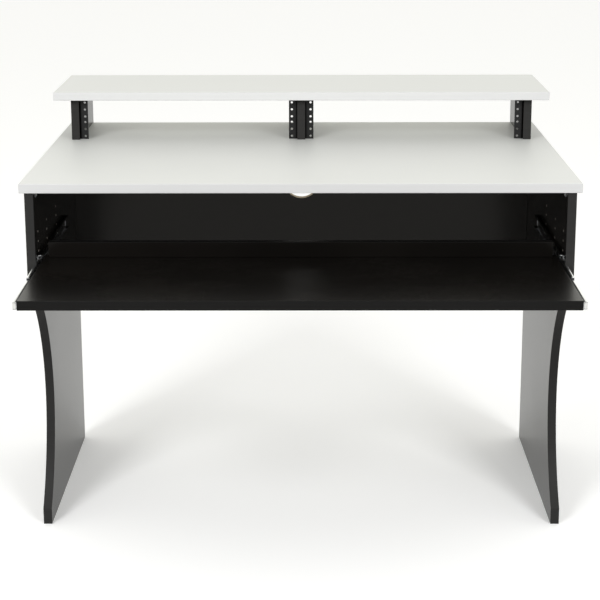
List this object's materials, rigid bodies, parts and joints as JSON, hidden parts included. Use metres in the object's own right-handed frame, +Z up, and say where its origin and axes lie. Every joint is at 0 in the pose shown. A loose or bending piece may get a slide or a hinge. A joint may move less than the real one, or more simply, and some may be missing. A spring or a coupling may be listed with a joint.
{
  "type": "studio desk",
  "caption": "Studio desk with a white desktop, a raised white shelf over open rack bays, black side panels with hollowed fronts and a black keyboard tray on telescopic slides.",
  "frame": {"origin": "on the floor, under the centre of the bounding box of the desk with its tray pulled out", "axes": "+X to the right of the person who sits at the desk, -Y towards that person, +Z up"},
  "size_m": [1.104, 1.006, 0.857],
  "materials": {
    "white_laminate": "white melamine-faced chipboard with matching edge band, satin",
    "black_laminate": "black melamine-faced chipboard with matching edge band, fine grain, satin",
    "black_steel": "black powder coat",
    "black_screws": "blackened steel",
    "slide_steel": "bright zinc plated, drawn along its length",
    "bearing_steel": "zinc plated, greased",
    "bracket_steel": "bright zinc plated",
    "zinc_screws": "bright zinc plated",
    "beech": "plain beech"
  },
  "bodies": {
    "desk": {"desktop": "white_laminate", "top_shelf": "white_laminate", "upright_left": "black_laminate", "upright_center": "black_laminate", "upright_right": "black_laminate", "side_panel_left": "black_laminate", "side_panel_right": "black_laminate", "back_panel": "black_laminate", "rack_rail_left_bay_left": "black_steel", "rack_rail_left_bay_right": "black_steel", "rack_rail_right_bay_left": "black_steel", "rack_rail_right_bay_right": "black_steel", "rail_screw_left_bay_left_low": "black_screws", "rail_screw_left_bay_left_high": "black_screws", "rail_screw_left_bay_right_low": "black_screws", "rail_screw_left_bay_right_high": "black_screws", "rail_screw_right_bay_left_low": "black_screws", "rail_screw_right_bay_left_high": "black_screws", "rail_screw_right_bay_right_low": "black_screws", "rail_screw_right_bay_right_high": "black_screws", "slide_outer_left": "slide_steel", "slide_outer_right": "slide_steel", "slide_screw_left_front": "zinc_screws", "slide_screw_left_rear": "zinc_screws", "slide_screw_right_front": "zinc_screws", "slide_screw_right_rear": "zinc_screws", "corner_bracket_left": "bracket_steel", "corner_bracket_right": "bracket_steel", "bracket_panel_screw_left": "zinc_screws", "bracket_panel_screw_right": "zinc_screws", "bracket_top_screw_left": "zinc_screws", "bracket_top_screw_right": "zinc_screws", "desktop_screw_left_front": "zinc_screws", "desktop_screw_left_rear": "zinc_screws", "desktop_screw_center_front": "zinc_screws", "desktop_screw_center_rear": "zinc_screws", "desktop_screw_right_front": "zinc_screws", "desktop_screw_right_rear": "zinc_screws", "shelf_dowel_left_front": "beech", "shelf_dowel_left_rear": "beech", "shelf_dowel_center_front": "beech", "shelf_dowel_center_rear": "beech", "shelf_dowel_right_front": "beech", "shelf_dowel_right_rear": "beech"},
    "tray": {"keyboard_tray": "black_laminate", "tray_rear_strip": "black_laminate", "strip_screw_left": "zinc_screws", "strip_screw_right": "zinc_screws", "slide_inner_left": "slide_steel", "slide_inner_right": "slide_steel", "runner_screw_left_front": "zinc_screws", "runner_screw_left_rear": "zinc_screws", "runner_screw_right_front": "zinc_screws", "runner_screw_right_rear": "zinc_screws"},
    "middle_left": {"slide_middle_left": "slide_steel"},
    "middle_right": {"slide_middle_right": "slide_steel"},
    "cage_outer_left": {"ball_cage_outer_left": "bearing_steel"},
    "cage_outer_right": {"ball_cage_outer_right": "bearing_steel"},
    "cage_inner_left": {"ball_cage_inner_left": "bearing_steel"},
    "cage_inner_right": {"ball_cage_inner_right": "bearing_steel"}
  },
  "joints": [
    {"name": "tray_slide", "type": "slide", "parent": "desk", "child": "tray", "axis": [0, 1, 0], "range_m": [0, 0.306]},
    {"name": "middle_left_slide", "type": "slide", "parent": "desk", "child": "middle_left", "axis": [0, 1, 0], "range_m": [0, 0.153]},
    {"name": "middle_right_slide", "type": "slide", "parent": "desk", "child": "middle_right", "axis": [0, 1, 0], "range_m": [0, 0.153]},
    {"name": "cage_outer_left_slide", "type": "slide", "parent": "desk", "child": "cage_outer_left", "axis": [0, 1, 0], "range_m": [0, 0.0765]},
    {"name": "cage_outer_right_slide", "type": "slide", "parent": "desk", "child": "cage_outer_right", "axis": [0, 1, 0], "range_m": [0, 0.0765]},
    {"name": "cage_inner_left_slide", "type": "slide", "parent": "desk", "child": "cage_inner_left", "axis": [0, 1, 0], "range_m": [0, 0.2295]},
    {"name": "cage_inner_right_slide", "type": "slide", "parent": "desk", "child": "cage_inner_right", "axis": [0, 1, 0], "range_m": [0, 0.2295]}
  ],
  "couplings": [
    {"joint": "middle_left_slide", "follows": "tray_slide", "ratio": 0.5},
    {"joint": "middle_right_slide", "follows": "tray_slide", "ratio": 0.5},
    {"joint": "cage_outer_left_slide", "follows": "tray_slide", "ratio": 0.25},
    {"joint": "cage_outer_right_slide", "follows": "tray_slide", "ratio": 0.25},
    {"joint": "cage_inner_left_slide", "follows": "tray_slide", "ratio": 0.75},
    {"joint": "cage_inner_right_slide", "follows": "tray_slide", "ratio": 0.75}
  ]
}
